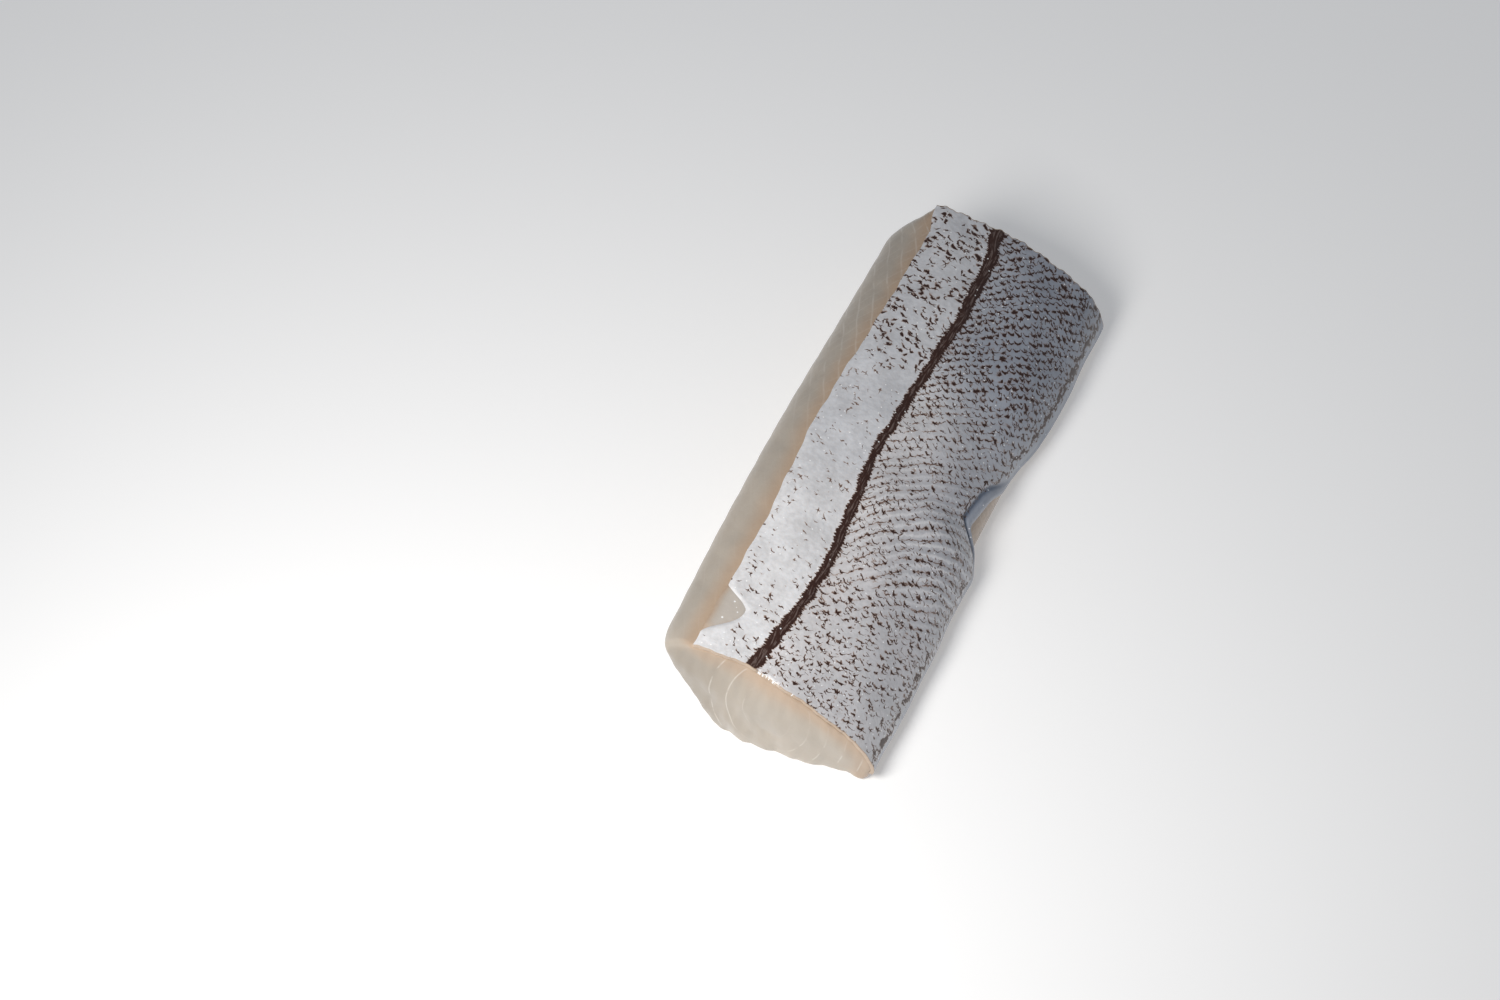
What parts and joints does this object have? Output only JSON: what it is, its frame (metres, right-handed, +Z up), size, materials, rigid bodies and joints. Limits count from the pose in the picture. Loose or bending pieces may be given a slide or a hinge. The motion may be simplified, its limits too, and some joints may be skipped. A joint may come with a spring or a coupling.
{
  "type": "haddock loin",
  "caption": "Raw skin-on haddock loin, a thick block of white fish cut square at both ends, lying skin side up.",
  "frame": {"origin": "middle of the bounding box at its bottom, on the underside of the loin", "axes": "+Y along the fish from the near cut to the far cut, +Z up through the skin, +X from the bare trimmed side towards the side where the skin rolls down"},
  "size_m": [0.0576, 0.154, 0.0314],
  "materials": {
    "flesh": "satin",
    "skin": "satin"
  },
  "bodies": {
    "root": {"haddock_loin": "flesh"}
  },
  "joints": []
}
